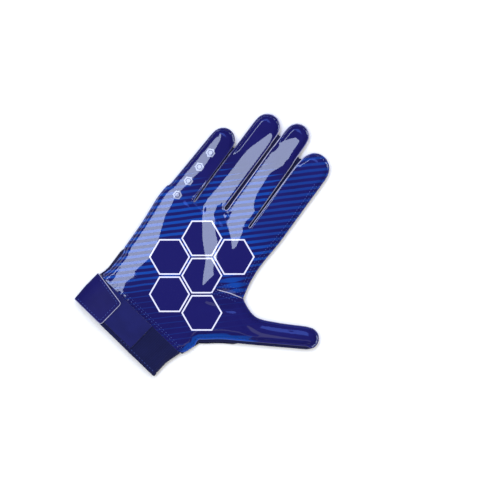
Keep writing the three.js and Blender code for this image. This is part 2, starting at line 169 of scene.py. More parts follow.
BACK_ROWS = (0.12, 0.45, 1.0, 1.8, BACK_ROUND)  # the same for the back

# Thread as it lies on the glove, and the rows that are sewn with it
THREAD_WIDTH = 0.42
THREAD_HEIGHT = 0.72 * THREAD_WIDTH
THREAD_LIFT = 0.06
STITCH = 1.7
SHORT_STITCH = 1.5
DART_ROWS = (-5.2, -2.6, 2.6, 5.2)  # stitched rows on both sides of the dart
INDEX_ROWS = (3.6, 6.0)  # those inside the index finger's side
WRIST_ROWS = (2.2, 4.0)  # those above the wrist's seam
TAB_INSET = 2.6  # from the tab's edge to its row

# Slits between the fingers, where the palm's edge is flat and stays higher: the middles of the fingers on
# both sides, and where the stretch starts below the fork and ends up the hand
SLITS = [
    {"left": -27.5, "right": -3, "start": 121, "end": 186},
    {"left": -3, "right": 23, "start": 130, "end": 216},
    {"left": 23, "right": 50.6, "start": 130, "end": 212},
]
SLIT_LIFT = 1.8  # how much higher the palm's edge is there
SLIT_FILL = 0.9  # how far the cloth beside a slit swells into it

# How bold the stripes are (in the web, how much bolder) and how vivid, on each stretch of the palm. On the
# thumb's rolled edge and in the web the bolder stripes are painted highlight.
STRIPES = {
    "hand": (0.46, 0.95),
    "heel": (0.12, 0.3),
    "thumb": (0.02, 0.2),
    # painted highlight: along the thumb's rolled lower edge the stripes run together into bright blue,
    # standing in for light reflected by the coating
    "painted_edge_highlight": (1.3, 0.9),
    # painted sheen: the web between thumb and index finger is made bolder and brighter blue
    "painted_web_sheen": (0.8, 0.9),
}

# Row of silver cells on the little finger: its ends and how many there are
STUD_ROW = ((-29.5, 129.5), (-28.2, 174.9))
STUD_COUNT = 4

# Side of the index finger towards the thumb, from the web up
INDEX_SIDE = np.array([(66, 104), (63, 122), (65, 145), (66, 168), (65.3, 192), (64.5, 208)])

# Stitched dart by the thumb, from its end in the palm to the web
DART = np.array([(45.3, 85.0), (56.0, 89.2), (68.0, 92.2)])

# The thumb's root, and its lean in degrees above +X
THUMB_ROOT = (42.5, 47.6)
THUMB_LEAN = 29.3


# Shapes

def wrist_place(x, y):
    """A place in the wrist's leaning axes, given in millimetres of the part's frame."""
    return CUFF_CENTRE + x * ACROSS_WRIST + y * UP_WRIST


def up_wrist(plan):
    """How far each place is up the hand from the cuff's opening, along the leaning wrist."""
    return (plan - CUFF_CENTRE) @ UP_WRIST


def ramp(value, start, end):
    """Rises smoothly from nought at start to one at end."""
    t = np.clip((np.asarray(value, float) - start) / (end - start), 0, 1)
    return t * t * (3 - 2 * t)


def node_bmesh(name):
    """A merged copy of a frame node's mesh, in metres."""
    shape = bmesh.new()
    shape.from_mesh(bpy.data.objects[name].data)
    bmesh.ops.remove_doubles(shape, verts=shape.verts, dist=1e-6)
    return shape


def last_of_run(chosen):
    """The index of the last chosen place before one that isn't, round a closed line."""
    return int(np.flatnonzero(chosen & ~np.roll(chosen, -1))[0])


def level_outline(name, height, facing):
    """The outer side of the seam round a node, closed along the wrist.

    The seam's faces lie at a height (mm) and face up (1) or down (-1), in a strip that is open at the wrist.
    """
    shape = node_bmesh(name)
    level = [f for f in shape.faces if f.normal.z * facing > 0.99]
    flat = {f for f in level if abs(f.calc_center_median().z / MM - height) < 0.02}
    edges = {e for f in flat for e in f.edges if sum(g in flat for g in e.link_faces) == 1}
    loops = []
    while edges:
        edge = edges.pop()
        start, here = edge.verts
        loop = [start]
        while here is not start:
            loop.append(here)
            edge = next(e for e in here.link_edges if e in edges)
            edges.discard(edge)
            here = edge.other_vert(here)
        loops.append(np.array([v.co.xy for v in loop]) / MM)
    shape.free()
    loop = max(loops, key=lambda loop: np.ptp(loop, axis=0).sum())
    at_wrist = up_wrist(loop) < WRIST_SEAM + 0.2
    first = last_of_run(at_wrist)
    loop, at_wrist = np.roll(loop, -first, axis=0), np.roll(at_wrist, -first)
    ends = np.flatnonzero(at_wrist)
    spans = [loop[a:b + 1] for a, b in zip(ends, [*ends[1:], len(loop)])]
    outline = max(spans, key=lambda span: np.ptp(span, axis=0).sum())
    area = np.sum(outline[:, 0] * np.roll(outline[:, 1], -1) - outline[:, 1] * np.roll(outline[:, 0], -1))
    return outline if area > 0 else outline[::-1]


def rounded(outline, reach=2.6, passes=3):
    """Cuts the corners of a closed outline, a few times over."""
    for _ in range(passes):
        ahead = np.roll(outline, -1, axis=0)
        span = ahead - outline
        length = np.linalg.norm(span, axis=1, keepdims=True)
        step = span / length * np.minimum(length * 0.28, reach)
        outline = np.stack([outline + step, ahead - step], axis=1).reshape(-1, 2)
        reach *= 0.6
    return outline


def evened(points, spacing, closed=True):
    """The same line with points at an even spacing."""
    if closed:
        points = np.vstack([points, points[:1]])
    along = np.concatenate([[0], np.cumsum(np.linalg.norm(np.diff(points, axis=0), axis=1))])
    count = max(2, round(along[-1] / spacing))
    at = np.linspace(0, along[-1], count, endpoint=not closed)
    return np.stack([np.interp(at, along, points[:, k]) for k in range(points.shape[1])], axis=1)


def inward(outline, distance):
    """A closed outline moved in, without the points that come too near to another side."""
    tangent = np.roll(outline, -1, axis=0) - np.roll(outline, 1, axis=0)
    normal = np.stack([-tangent[:, 1], tangent[:, 0]], axis=1)
    normal /= np.linalg.norm(tangent, axis=1, keepdims=True)
    moved = outline + normal * distance
    return moved[clearance(moved, outline) > distance - 0.12]


def moved_out(outline, table):
    """A closed outline moved out beside each run of a table."""
    outline = evened(outline, 1.2)
    for row in table:
        ahead = np.roll(outline, -1, axis=0) - np.roll(outline, 1, axis=0)
        out = np.stack([ahead[:, 1], -ahead[:, 0]], axis=1) / np.linalg.norm(ahead, axis=1, keepdims=True)
        near = clearance(outline, np.array(row["run"], float) + CUFF_CENTRE, closed=False) / row["round"]
        outline = outline + out * row["out"] * ramp(near, 1.25, 0.5)[:, None]
    return outline


def nearest(places):
    """A tree that finds which of many places is nearest."""
    tree = kdtree.KDTree(len(places))
    for k, place in enumerate(places):
        tree.insert(place, k)
    tree.balance()
    return tree


def clearance(points, outline, closed=True):
    """How far each point is from an outline."""
    tree = nearest([(x, y, 0) for x, y in evened(outline, 0.3, closed)])
    return np.array([tree.find((x, y, 0))[2] for x, y in points])


def without_wrist(outline):
    """The run of a closed outline from one end of the wrist round the fingers to the other."""
    at_wrist = up_wrist(outline) < WRIST_SEAM + WRIST_MARGIN
    return np.roll(outline, -last_of_run(at_wrist) - 1, axis=0)[:np.count_nonzero(~at_wrist)]


def inside(points, outline):
    """Which points lie inside a closed outline."""
    x, y = points[:, 0], points[:, 1]
    result = np.zeros(len(points), bool)
    for (x0, y0), (x1, y1) in zip(outline, np.roll(outline, -1, axis=0)):
        if y0 != y1:
            crosses = (y0 > y) != (y1 > y)
            result ^= crosses & (x < (x1 - x0) * (y - y0) / (y1 - y0) + x0)
    return result


def from_folds(x, y, folds):
    """The height that a table of folds adds at each place, in millimetres."""
    height = np.zeros(len(x))
    for fold in folds:
        run = evened(np.array(fold["run"], float), 1.0, closed=False)
        near = np.full(len(x), np.inf)
        place = np.zeros(len(x))
        for k, (px, py) in enumerate(run):
            distance = np.hypot(x - px, y - py)
            place = np.where(distance < near, k / (len(run) - 1), place)
            near = np.minimum(near, distance)
        fade = ramp(np.minimum(place, 1 - place), -0.05, 0.25)
        height += fold["depth"] * np.exp(-((near / fold["width"]) ** 2)) * fade
    return height


def wavy(points, scale, seed):
    """Smooth seeded noise over the plan, from about -1 to 1, at a scale in millimetres."""
    return np.array([noise.noise((x / scale, y / scale, seed)) for x, y in points])


def new_object(name, shape, materials=()):
    """Turns a bmesh in metres into an object of the scene."""
    mesh = bpy.data.meshes.new(name)
    shape.to_mesh(mesh)
    shape.free()
    made = bpy.data.objects.new(name, mesh)
    bpy.context.scene.collection.objects.link(made)
    for material in materials:
        mesh.materials.append(material)
    return made


def new_piece(name, shape, materials, replaces=()):
    """Turns a bmesh in metres into a smooth object that rides on the glove."""
    piece = new_object(name, shape, materials)
    piece.data.shade_smooth()
    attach(piece, BODY)
    if replaces:
        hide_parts(*replaces)
    return piece


def sheet_points(outline, spacing, bands):
    """Points over the inside of an outline: rows that follow its edge, then an even three-way grid."""
    rows = [inward(outline, band) for band in bands]
    low, high = outline.min(axis=0), outline.max(axis=0)
    row_gap = spacing * math.sqrt(3) / 2
    grid = []
    for k, y in enumerate(np.arange(low[1], high[1], row_gap)):
        xs = np.arange(low[0] + (k % 2) * spacing / 2, high[0], spacing)
        grid.append(np.stack([xs, np.full(len(xs), y)], axis=1))
    grid = np.vstack(grid)
    grid = grid[inside(grid, outline)]
    grid = grid[clearance(grid, outline) > bands[-1] + spacing * 0.6]
    return np.vstack(rows + [grid])


def sheet(outline, spacing, bands):
    """A flat sheet cut to an outline, as a bmesh in mm, with each vertex's place and how far in it lies."""
    edge = evened(outline, spacing)
    middle = sheet_points(edge, spacing, bands)
    points = np.vstack([edge, middle])
    loop = [(k, (k + 1) % len(edge)) for k in range(len(edge))]
    flat = geometry.delaunay_2d_cdt([Vector(p) for p in points], loop, [], 1, 1e-5)
    shape = bmesh.new()
    corners = [shape.verts.new((p.x, p.y, 0)) for p in flat[0]]
    for face in flat[2]:
        shape.faces.new([corners[k] for k in face])
    bmesh.ops.delete(shape, geom=[v for v in shape.verts if not v.link_faces], context="VERTS")
    shape.verts.index_update()
    shape.normal_update()
    if sum(f.normal.z for f in shape.faces) < 0:
        bmesh.ops.reverse_faces(shape, faces=shape.faces)
    plan = np.array([v.co.xy for v in shape.verts])
    return shape, plan, clearance(plan, edge)


def slopes_of(shape, plan, height):
    """How much a sheet rises at each vertex for a millimetre along +X and along +Y."""
    corners = np.array([[v.index for v in f.verts] for f in shape.faces])
    start = plan[corners[:, 0]]
    (ux, uy), (vx, vy) = (plan[corners[:, 1]] - start).T, (plan[corners[:, 2]] - start).T
    up_u = height[corners[:, 1]] - height[corners[:, 0]]
    up_v = height[corners[:, 2]] - height[corners[:, 0]]
    area = ux * vy - uy * vx
    total = np.zeros((len(plan), 3))
    for k in range(3):
        shares = np.stack([up_u * vy - up_v * uy, up_v * ux - up_u * vx, area], axis=1)
        np.add.at(total, corners[:, k], shares)
    return total[:, :2] / total[:, 2:]


def leaned(shape, plan, height, held, slopes, firm):
    """Bends a sheet towards the slopes wanted at its vertices, most where firm and not where held."""
    ends = np.array([[v.index for v in e.verts] for e in shape.edges])
    rise = (slopes[ends].mean(axis=1) * (plan[ends[:, 1]] - plan[ends[:, 0]])).sum(axis=1)
    count = len(height)
    pull = firm[ends].mean(axis=1)
    total = np.bincount(ends[:, 0], pull, count) + np.bincount(ends[:, 1], pull, count)
    before = height
    for _ in range(LEAN_PASSES):
        wanted = np.bincount(ends[:, 0], pull * (height[ends[:, 1]] - rise), count)
        wanted += np.bincount(ends[:, 1], pull * (height[ends[:, 0]] + rise), count)
        moved = height + LEAN_STEP * (wanted / total - height) + LEAN_SWING * (height - before)
        before, height = height, np.where(held, height, moved)
    return height


def settled(shape, height, keep, passes):
    """Evens out heights over the sheet, where keep is nought, by drawing each vertex to its neighbours."""
    ends = np.array([[v.index for v in e.verts] for e in shape.edges])
    count = len(height)
    degree = np.bincount(ends.ravel(), minlength=count)
    for _ in range(passes):
        total = np.bincount(ends[:, 0], height[ends[:, 1]], count)
        total += np.bincount(ends[:, 1], height[ends[:, 0]], count)
        height = height * keep + (1 - keep) * (0.4 * height + 0.6 * total / degree)
    return height


def set_heights(shape, plan, height):
    """Lifts a flat sheet to its heights and turns it to metres."""
    for vert, (x, y), z in zip(shape.verts, plan, height):
        vert.co = Vector((x, y, z)) * MM


def ray_heights(name, plan, facing):
    """The height in mm of a node's outer side over each place, seen from above (1) or below (-1)."""
    shape = node_bmesh(name)
    tree = BVHTree.FromBMesh(shape)
    shape.free()
    found = np.full(len(plan), np.nan)
    for k, (x, y) in enumerate(plan):
        hit = tree.ray_cast(Vector((x * MM, y * MM, facing)), Vector((0, 0, -facing)))[0]
        if hit:
            found[k] = hit.z / MM
    return found


def add_value(piece, name, values):
    """A number for each vertex of a piece, for its material to read."""
    attribute = piece.data.attributes.new(name, "FLOAT", "POINT")
    attribute.data.foreach_set("value", np.asarray(values, np.float32))


def thicken(piece, rim, lining):
    """Gives a sheet its thickness, with the materials of its raw edge and its inside."""
    wall = piece.modifiers.new("Thickness", "SOLIDIFY")
    wall.thickness = SHEET_THICKNESS * MM
    wall.offset = -1
    wall.material_offset_rim = rim
    wall.material_offset = lining


def remeshed(name, node, voxel, passes, materials, relief=None):
    """A frame node's shape with a fine even surface, worked by relief(points, normals) in mm."""
    source = new_object("source", node_bmesh(node))
    fine = source.modifiers.new("Fine", "REMESH")
    fine.mode = "VOXEL"
    fine.voxel_size = voxel * MM
    even = source.modifiers.new("Even", "SMOOTH")
    even.factor = 0.5
    even.iterations = passes
    ready = bpy.data.meshes.new_from_object(source.evaluated_get(bpy.context.evaluated_depsgraph_get()))
    shape = bmesh.new()
    shape.from_mesh(ready)
    bpy.data.objects.remove(source)
    if relief:
        points = np.array([v.co for v in shape.verts]) / MM
        normals = np.array([v.normal for v in shape.verts])
        for vert, lift in zip(shape.verts, relief(points, normals)):
            vert.co += vert.normal * lift * MM
    return new_piece(name, shape, materials, [node])


def tree_of(piece):
    """A search tree over a finished piece, to lay stitches and trim on."""
    shape = bmesh.new()
    shape.from_mesh(piece.data)
    tree = BVHTree.FromBMesh(shape)
    shape.free()
    return tree


def dropped(tree, place, lift):
    """A point in metres on the upper side of a piece over a place in mm, and the way the surface faces."""
    hit, normal, _, _ = tree.ray_cast(Vector((place[0] * MM, place[1] * MM, 1)), Vector((0, 0, -1)))
    return (None, None) if hit is None else (hit + normal * lift * MM, normal)


def add_stitches(shape, tree, line, pitch, length=STITCH):
    """Lays short rounded threads along a line on a piece, each a stretched ball of few faces."""
    places = evened(np.array(line, float), pitch, closed=False)
    run = bmesh.new()
    for here, ahead in zip(places, places[1:]):
        point, normal = dropped(tree, here, THREAD_LIFT)
        if point is None:
            continue
        course = Vector((*(ahead - here), 0))
        course = (course - normal * course.dot(normal)).normalized()
        side = normal.cross(course)
        turn = Matrix((course, side, normal)).transposed().to_4x4()
        size = Matrix.Diagonal((length * MM / 2, THREAD_WIDTH * MM / 2, THREAD_HEIGHT * MM / 2, 1))
        bmesh.ops.create_uvsphere(run, u_segments=6, v_segments=4, radius=1,
                                  matrix=Matrix.Translation(point) @ turn @ size)
    row = bpy.data.meshes.new("row")
    run.to_mesh(row)
    run.free()
    shape.from_mesh(row)
    bpy.data.meshes.remove(row)


def add_bead(shape, tree, line, width, height, lift):
    """A slim bead along a line on a piece, for a raw edge."""
    places = evened(np.array(line, float), 0.8, closed=False)
    rings = []
    for k, here in enumerate(places):
        point, normal = dropped(tree, here, lift)
        if point is None:
            continue
        course = Vector((*(places[min(k + 1, len(places) - 1)] - places[max(k - 1, 0)]), 0)).normalized()
        side = normal.cross(course)
        taper = max(0.25, min(1, k / 3, (len(places) - 1 - k) / 3))
        axes = (side * width * taper * MM / 2, normal * height * taper * MM, course)
        turn = Matrix(axes).transposed().to_4x4()
        ring = bmesh.ops.create_circle(shape, segments=8, radius=1, matrix=Matrix.Translation(point) @ turn)
        rings.append(ring["verts"])
    for verts, following in zip(rings, rings[1:]):
        edges = {e for v in verts + following for e in v.link_edges if len(e.link_faces) < 2}
        edges = [e for e in edges if set(e.verts) <= set(verts) or set(e.verts) <= set(following)]
        bmesh.ops.bridge_loops(shape, edges=edges)
    for verts in (rings[0], rings[-1]):
        bmesh.ops.contextual_create(shape, geom=verts)
    bmesh.ops.recalc_face_normals(shape, faces=shape.faces)


# Finishes

def shade(colour, share):
    """A colour made darker or lighter."""
    return tuple(min(1, c * share) for c in colour)


class Finish:
    """A material's nodes, with short calls for what the glove's finishes share."""

    def __init__(self, name, **sockets):
        self.material = bpy.data.materials.new(name)
        self.material.use_nodes = True
        self.tree = self.material.node_tree
        self.surface = self.tree.nodes["Principled BSDF"]
        for key, value in sockets.items():
            self.surface.inputs[key.replace("_", " ")].default_value = value

    def node(self, kind, links=None, **settings):
        made = self.tree.nodes.new("ShaderNode" + kind)
        for key, value in settings.items():
            setattr(made, key, value)
        for key, value in (links or {}).items():
            self.put(made.inputs[key], value)
        return made

    def put(self, socket, value):
        if isinstance(value, bpy.types.NodeSocket):
            self.tree.links.new(value, socket)
        else:
            socket.default_value = value

    def math(self, operation, *values, clamp=False):
        made = self.node("Math", dict(enumerate(values)), operation=operation)
        made.use_clamp = clamp
        return made.outputs[0]

    def vector(self, operation, *values):
        made = self.node("VectorMath", dict(enumerate(values)), operation=operation)
        return made.outputs["Value" if operation == "DOT_PRODUCT" else "Vector"]

    def value(self, name):
        return self.node("Attribute", attribute_name=name).outputs["Fac"]

    def places(self):
        """Millimetres from the cuff's centre."""
        where = self.node("TexCoord").outputs["Object"]
        scaled = self.node("Mapping", {"Vector": where, "Scale": (1 / MM,) * 3,
                                       "Location": (-CUFF_CENTRE[0], -CUFF_CENTRE[1], 0)})
        return scaled.outputs[0]

    def noise(self, where, scale, detail=2.0, roughness=0.5):
        return self.node("TexNoise", {"Vector": where, "Scale": scale, "Detail": detail,
                                      "Roughness": roughness}).outputs["Fac"]

    def ramp(self, value, low, high, low_to=0.0, high_to=1.0, smooth=True):
        links = {"Value": value, "From Min": low, "From Max": high, "To Min": low_to, "To Max": high_to}
        kind = "SMOOTHSTEP" if smooth else "LINEAR"
        return self.node("MapRange", links, interpolation_type=kind).outputs[0]

    def mix(self, share, first, second):
        made = self.node("Mix", data_type="RGBA")
        self.put(made.inputs["Factor"], share)
        for socket, side in (("A", first), ("B", second)):
            plain = isinstance(side, tuple) and len(side) == 3
            self.put(made.inputs[socket], (*side, 1) if plain else side)
        return made.outputs["Result"]

    def bump(self, height, strength, depth, onto=None):
        made = self.node("Bump", {"Height": height, "Strength": strength, "Distance": depth * MM})
        if onto:
            self.put(made.inputs["Normal"], onto)
        return made.outputs["Normal"]

    def wear(self, **sockets):
        for key, value in sockets.items():
            self.put(self.surface.inputs[key.replace("_", " ")], value)
        return self.material


def hexagon(finish, where, centre, flat, turn):
    """How far a place is outside a hexagon, in millimetres. Flat is from its middle to a side."""
    local = finish.node("Mapping", {"Vector": finish.vector("SUBTRACT", where, (*centre, 0)),
                                    "Rotation": (0, 0, -math.radians(turn))}).outputs[0]
    local = finish.vector("ABSOLUTE", local)
    slant = finish.vector("DOT_PRODUCT", local, (math.cos(math.radians(30)), math.sin(math.radians(30)), 0))
    level = finish.vector("DOT_PRODUCT", local, (0, 1, 0))
    return finish.math("SUBTRACT", finish.math("MAXIMUM", slant, level), flat)


def cells(finish, where, centres, flat, turn):
    """How far a place is outside the nearest of several hexagons."""
    nearest = None
    for centre in centres:
        outside = hexagon(finish, where, centre, flat, turn)
        nearest = outside if nearest is None else finish.math("MINIMUM", nearest, outside)
    return nearest


def honeycomb(look):
    """The centres of the large cells on the palm: one in the middle and some of those round it."""
    middle = np.array(look.cells_middle)
    step = 2 * look.cell_flat + look.cell_gap
    sides = [middle + step * np.array([math.cos(a), math.sin(a)])
             for a in np.radians(look.cell_turn + 90 + 60 * np.array([0, 1, 2, 3, 5]))]
    return [tuple(middle)] + [tuple(p) for p in sides]


def palm_finish(look):
    """Glossy navy coating with bright stripes, a honeycomb of outlined cells and a row of silver ones."""
    finish = Finish("palm_coating", Roughness=0.6, Coat_Weight=1.0, Coat_Roughness=look.gloss, Coat_IOR=1.5,
                    Specular_IOR_Level=0.05)
    where = finish.places()
    navy, bright = tuple(look.navy), tuple(look.bright)
    slant = math.radians(look.stripe_slant)
    waver = finish.ramp(finish.noise(where, 0.06), 0, 1, -0.5, 0.5, smooth=False)
    across = finish.vector("DOT_PRODUCT", where, (-math.sin(slant), math.cos(slant), 0))
    phase = finish.math("FRACT", finish.math("DIVIDE", finish.math("ADD", across, waver), look.stripe_pitch))
    apart = finish.math("MULTIPLY", finish.math("ABSOLUTE", finish.math("SUBTRACT", phase, 0.5)), 2.0)
    # Stripe boldness, raised on the thumb's rolled edge and in the web as painted highlight
    bold_and_sheen = finish.value("bold_and_sheen")
    line = finish.math("SUBTRACT", bold_and_sheen, apart)
    line = finish.math("MULTIPLY", finish.ramp(line, -0.14, 0.14), finish.value("vivid"), clamp=True)
    cloudy = finish.ramp(finish.noise(where, 0.035, 3.0), 0.3, 0.7)
    ground = finish.mix(cloudy, navy, shade(navy, 0.85))
    colour = finish.mix(line, ground, bright)
    outside = cells(finish, where, honeycomb(look), look.cell_flat, look.cell_turn)
    colour = finish.mix(finish.ramp(outside, 0.08, -0.08), colour, navy)
    ring = finish.math("SUBTRACT", finish.math("ABSOLUTE", outside), look.cell_line / 2)
    ring = finish.ramp(ring, 0.1, -0.1)
    colour = finish.mix(ring, colour, tuple(look.print_white))
    studs = np.linspace(*STUD_ROW, STUD_COUNT)
    stud = cells(finish, where, studs, look.stud_flat, 30)
    stud = finish.ramp(stud, 0.08, -0.08)
    colour = finish.mix(stud, colour, tuple(look.silver))
    inner = cells(finish, where, studs, look.stud_flat * 0.55, 30)
    outline = finish.math("SUBTRACT", finish.math("ABSOLUTE", inner), 0.3)
    colour = finish.mix(finish.ramp(outline, 0.1, -0.1), colour, navy)
    worn = finish.ramp(finish.noise(where, 0.25, 2.0), 0.3, 0.55)
    rim = finish.math("MULTIPLY", finish.ramp(finish.value("edge"), 0.75, 0.45), finish.value("cut"))
    rim = finish.math("MULTIPLY", rim, finish.math("MULTIPLY_ADD", worn, 0.3, 0.7))
    colour = finish.mix(rim, colour, tuple(look.raw_edge))
    grain = finish.noise(where, 0.9, 3.0, 0.6)
    ripple = finish.noise(where, 0.09, 1.0)
    normal = finish.bump(ripple, 0.5, 0.22, finish.bump(grain, 0.18, 0.05))
    return finish.wear(Base_Color=colour, Metallic=finish.math("MULTIPLY", stud, 0.5), Normal=normal,
                       Coat_Normal=finish.bump(ripple, 0.3, 0.14))


def tab_finish(look):
    """The same coating, plain, with a light line along its raw edge."""
    finish = Finish("tab_coating", Roughness=0.6, Coat_Weight=0.06, Coat_Roughness=0.35, Coat_IOR=1.5,
                    Specular_IOR_Level=0.05)
    where = finish.places()
    edge = finish.ramp(finish.value("edge"), 0.75, 0.45)
    cloudy = finish.ramp(finish.noise(where, 0.05, 3.0), 0.3, 0.7)
    colour = finish.mix(cloudy, shade(look.navy, 0.85), shade(look.navy, 0.7))
    colour = finish.mix(edge, colour, tuple(look.raw_edge))
    return finish.wear(Base_Color=colour, Normal=finish.bump(finish.noise(where, 0.35, 3.0), 0.3, 0.08))


def cloth_finish(name, colour, thread, across, sheen, depth, ribs=None):
    """Knitted or woven cloth whose threads cross at a given spacing in millimetres."""
    finish = Finish(name, Roughness=0.86, Sheen_Weight=sheen, Sheen_Roughness=0.45, Specular_IOR_Level=0.25)
    where = finish.places()
    turned = finish.node("Mapping", {"Vector": where, "Rotation": (0, 0, -math.radians(across))}).outputs[0]
    split = finish.node("SeparateXYZ", {"Vector": turned}).outputs
    wave = [finish.math("SINE", finish.math("MULTIPLY", axis, 2 * math.pi / thread)) for axis in split]
    crossed = finish.math("MULTIPLY", wave[0], wave[1])
    weave = finish.math("ADD", crossed, finish.math("MULTIPLY", wave[2], 0.5))
    if ribs:
        rib = finish.math("SINE", finish.math("MULTIPLY", split[0], 2 * math.pi / ribs))
        weave = finish.math("ADD", finish.math("MULTIPLY", weave, 0.5), finish.math("MULTIPLY", rib, 1.2))
    fuzz = finish.noise(where, 2.5, 4.0, 0.7)
    uneven = finish.ramp(finish.noise(where, 0.08, 3.0), 0.3, 0.7)
    worn = finish.math("ADD", finish.math("MULTIPLY", weave, 0.16), finish.math("MULTIPLY", uneven, 0.2))
    tone = finish.mix(finish.math("ADD", worn, 0.4, clamp=True), shade(colour, 0.7), shade(colour, 1.5))
    normal = finish.bump(weave, 0.7, depth, finish.bump(fuzz, 0.3, depth))
    return finish.wear(Base_Color=tone, Normal=normal)


def stretch_cloth(look):
    """The cloth of the back and of the strips."""
    return shared(cloth_finish, "stretch_cloth", tuple(look.cloth), 0.55, 20, 0.08, 0.12)


def lining_cloth(look):
    """The inside of the palm and the back."""
    return shared(plain_finish, "lining", shade(look.cloth, 1.6), 0.9)


def plain_finish(name, colour, roughness, depth=0.05):
    """Thread, raw edge or lining: a plain colour with a fine grain."""
    finish = Finish(name, Roughness=roughness)
    where = finish.places()
    grain = finish.noise(where, 3.0, 3.0, 0.6)
    tone = finish.mix(finish.ramp(grain, 0.3, 0.7), shade(colour, 0.8), shade(colour, 1.15))
    return finish.wear(Base_Color=tone, Normal=finish.bump(grain, 0.5, depth))


def shared(make, name, *values):
    """A finish that several pieces share, made once."""
    return bpy.data.materials.get(name) or make(name, *values)


# Settings

def tint(label, words, default):
    return bpy.props.FloatVectorProperty(name=label, description=words, subtype="COLOR", min=0, max=1,
                                         default=default)


def measure(label, words, default):
    return bpy.props.FloatProperty(name=label, description=words + ", mm", default=default)


class GloveLook(bpy.types.PropertyGroup):
    """Colours, prints and threads of the glove, in millimetres."""

    navy: tint("Navy", "Ground colour of the palm", (0.0102, 0.0092, 0.1))
    bright: tint("Bright blue", "Stripes of the palm", (0.0055, 0.055, 0.31))
    print_white: tint("Print white", "Outlines of the palm's cells", (0.75, 0.75, 0.86))
    silver: tint("Silver", "Row of small cells on the little finger", (0.42, 0.44, 0.53))
    raw_edge: tint("Raw edge", "Cut edge of the coated sheet", (0.42, 0.42, 0.55))
    cloth: tint("Cloth", "Back and gussets", (0.0085, 0.009, 0.045))
    knit: tint("Knit", "Elastic cuff", (0.0045, 0.006, 0.043))
    patch: tint("Patch", "Woven patch on the cuff", (0.0078, 0.0092, 0.08))
    thread: tint("Thread", "Stitches round the palm", (0.006, 0.007, 0.045))
    light_thread: tint("Light thread", "Stitches of the dart, index finger, tab and cuff",
                       (0.05, 0.09, 0.34))
    gloss: bpy.props.FloatProperty(name="Gloss", description="Roughness of the clear coating", default=0.03)
    stripe_pitch: measure("Stripe pitch", "From one stripe to the next", 4.93)
    stripe_slant: bpy.props.FloatProperty(
        name="Stripe slant", description="Degrees from the hand's breadth", default=43.6)
    cells_middle: bpy.props.FloatVectorProperty(
        name="Cells", description="Middle cell of the palm, mm", size=2, default=(28, 87))
    cell_flat: measure("Cell size", "From a cell's middle to its side", 14.5)
    cell_gap: measure("Cell gap", "Between two cells", 2.6)
    cell_line: measure("Cell outline", "Width of a cell's outline", 1.15)
    cell_turn: bpy.props.FloatProperty(name="Cell turn", description="Degrees", default=36.6)
    stud_flat: measure("Stud size", "From the middle of a silver cell to its side", 3.5)


class GloveSizes(bpy.types.PropertyGroup):
    """Fineness of the glove's surfaces, in millimetres."""

    palm_spacing: measure("Palm fineness", "Between the palm's vertices", 1.0)
    back_spacing: measure("Back fineness", "Between the back's vertices", 1.7)
    gusset_voxel: measure("Gusset fineness", "Between the gussets' vertices", 0.5)
    cuff_voxel: measure("Cuff fineness", "Between the cuff's vertices", 0.6)
    tab_voxel: measure("Tab fineness", "Between the tab's vertices", 0.45)
    stitch_pitch: measure("Stitch pitch", "From one stitch to the next", 2.9)


def settings(context):
    return context.scene.glove_look, context.scene.glove_sizes


# Pieces

def palm_outline():
    """The palm's cut edge, which laps over the cuff at the wrist."""
    outline = moved_out(rounded(level_outline("palm_panel", PALM_SEAM, -1)), PALM_OUT)
    at_wrist = up_wrist(outline) < WRIST_SEAM + WRIST_MARGIN
    return outline - WRIST_LAP * at_wrist[:, None] * UP_WRIST


def in_slits(plan):
    """How much each place is beside a slit between fingers, from nought to one."""
    x, y = (plan - CUFF_CENTRE).T
    share = np.zeros(len(plan))
    for slit in SLITS:
        across = ramp(x, slit["left"] - 1, slit["left"] + 1) * ramp(x, slit["right"] + 1, slit["right"] - 1)
        along = ramp(y, slit["start"] - 6, slit["start"] + 2) * ramp(y, slit["end"] + 8, slit["end"] - 4)
        share = np.maximum(share, across * along)
    return share


def thumb_places(plan):
    """How far each place is out along the thumb and across it, in millimetres."""
    turn = math.radians(THUMB_LEAN)
    x, y = (plan - CUFF_CENTRE - THUMB_ROOT).T
    return x * math.cos(turn) + y * math.sin(turn), y * math.cos(turn) - x * math.sin(turn)


def palm_relief(plan, edge):
    """What is worked into the palm above its plain arch: folds, creases, waves and puckers."""
    x, y = (plan - CUFF_CENTRE).T
    soft = ramp(edge, WELT + 0.2, WELT + 5)
    height = from_folds(x, y, PALM_FOLDS)
    height += 0.25 * wavy(plan, 30, 3.1) + 0.05 * wavy(plan, 11, 7.7) * ramp(edge, 3, 9)
    for finger in FINGERS:
        along = (y - finger["fork"]) / (finger["tip"] - finger["fork"])
        near = np.exp(-(((x - finger["x"]) / 14) ** 4))
        for joint in JOINTS:
            height -= JOINT_DEPTH * np.exp(-(((along - joint) * 22) ** 2)) * near
    pucker = np.exp(-((edge - WELT - 1.8) / 2.2) ** 2)
    height += PUCKER_DEPTH * pucker * np.sin((x * 0.9 + y) * 2 * math.pi / PUCKER_PITCH)
    return height * soft


def arched(shape, plan, edge, border, flange):
    """The plain arch of the palm, which rises from its flat flange to the solid's upper side."""
    reached = plan + np.where(border < 0.6, 1.2, 0)[:, None] * [0, 1]
    height = ray_heights("palm_panel", reached, 1)
    height = np.where(np.isnan(height), flange, height)
    held = np.where(edge < WELT - 0.3, 1.0, 0.0)
    height = np.where(held > 0, flange, height)
    height = settled(shape, height, np.maximum(held * 0.9, (border < AT_BORDER) * 0.8), 14)
    return flange + (height - flange) * ramp(edge, WELT - 0.2, WELT + 2.2)


